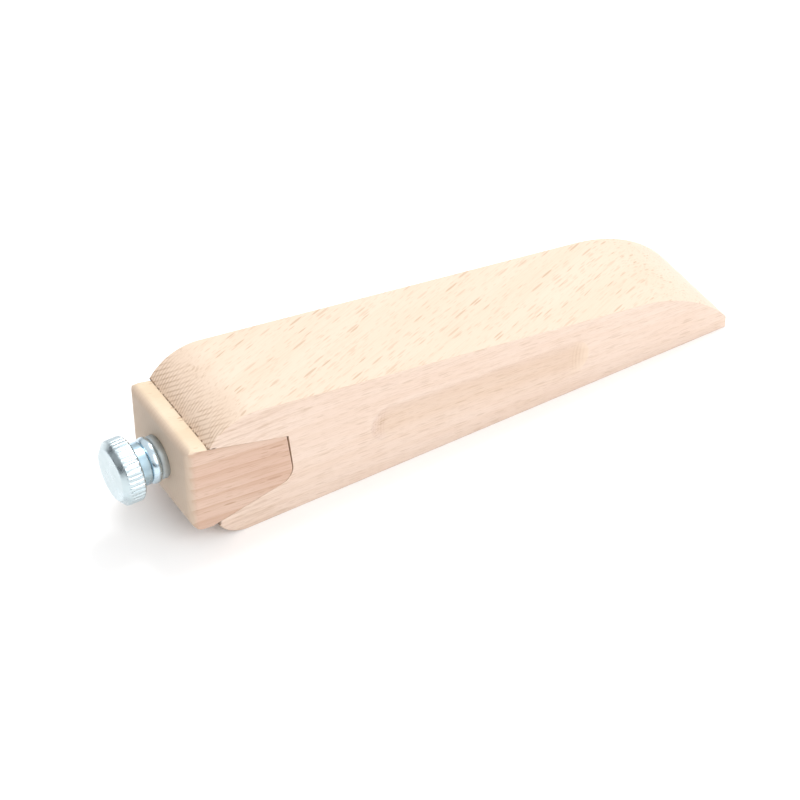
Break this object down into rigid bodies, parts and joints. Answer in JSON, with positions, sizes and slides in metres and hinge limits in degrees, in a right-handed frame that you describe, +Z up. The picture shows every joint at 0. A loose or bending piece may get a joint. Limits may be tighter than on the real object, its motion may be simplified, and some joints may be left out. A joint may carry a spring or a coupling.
{
  "type": "sanding block",
  "caption": "Wedge-shaped wooden hand sanding block with finger grooves and a tapered clamping wedge drawn in by a knurled thumbscrew.",
  "frame": {"origin": "on the sole, midway between the body's rear plane and its nose, on the centre line", "axes": "+X towards the thin nose, -X towards the thumbscrew, +Y across the width, +Z up, away from the sole"},
  "size_m": [0.2052, 0.036, 0.0439],
  "materials": {
    "beech_body": "sanded, bare",
    "beech_wedge": "sanded, bare",
    "zinc_screw": "bright zinc plated",
    "zinc_collar": "bright zinc plated",
    "zinc_washer": "zinc plated",
    "brass_insert": "machined"
  },
  "bodies": {
    "block": {"grip_body": "beech_body", "threaded_insert": "brass_insert"},
    "wedge": {"clamp_wedge": "beech_wedge", "washer": "zinc_washer", "collar": "zinc_collar"},
    "screw": {"thumbscrew": "zinc_screw"}
  },
  "joints": [
    {"name": "wedge_slide", "type": "slide", "parent": "block", "child": "wedge", "axis": [-1, 0, 0], "range_m": [0, 0.012]},
    {"name": "screw_turn", "type": "hinge", "parent": "wedge", "child": "screw", "pos_m": [-0.1037, 0, 0.0235], "axis": [-1, 0, 0], "range_deg": [0, 4320]}
  ],
  "couplings": [
    {"joint": "screw_turn", "follows": "wedge_slide", "rad_per_m": 6283.2}
  ]
}
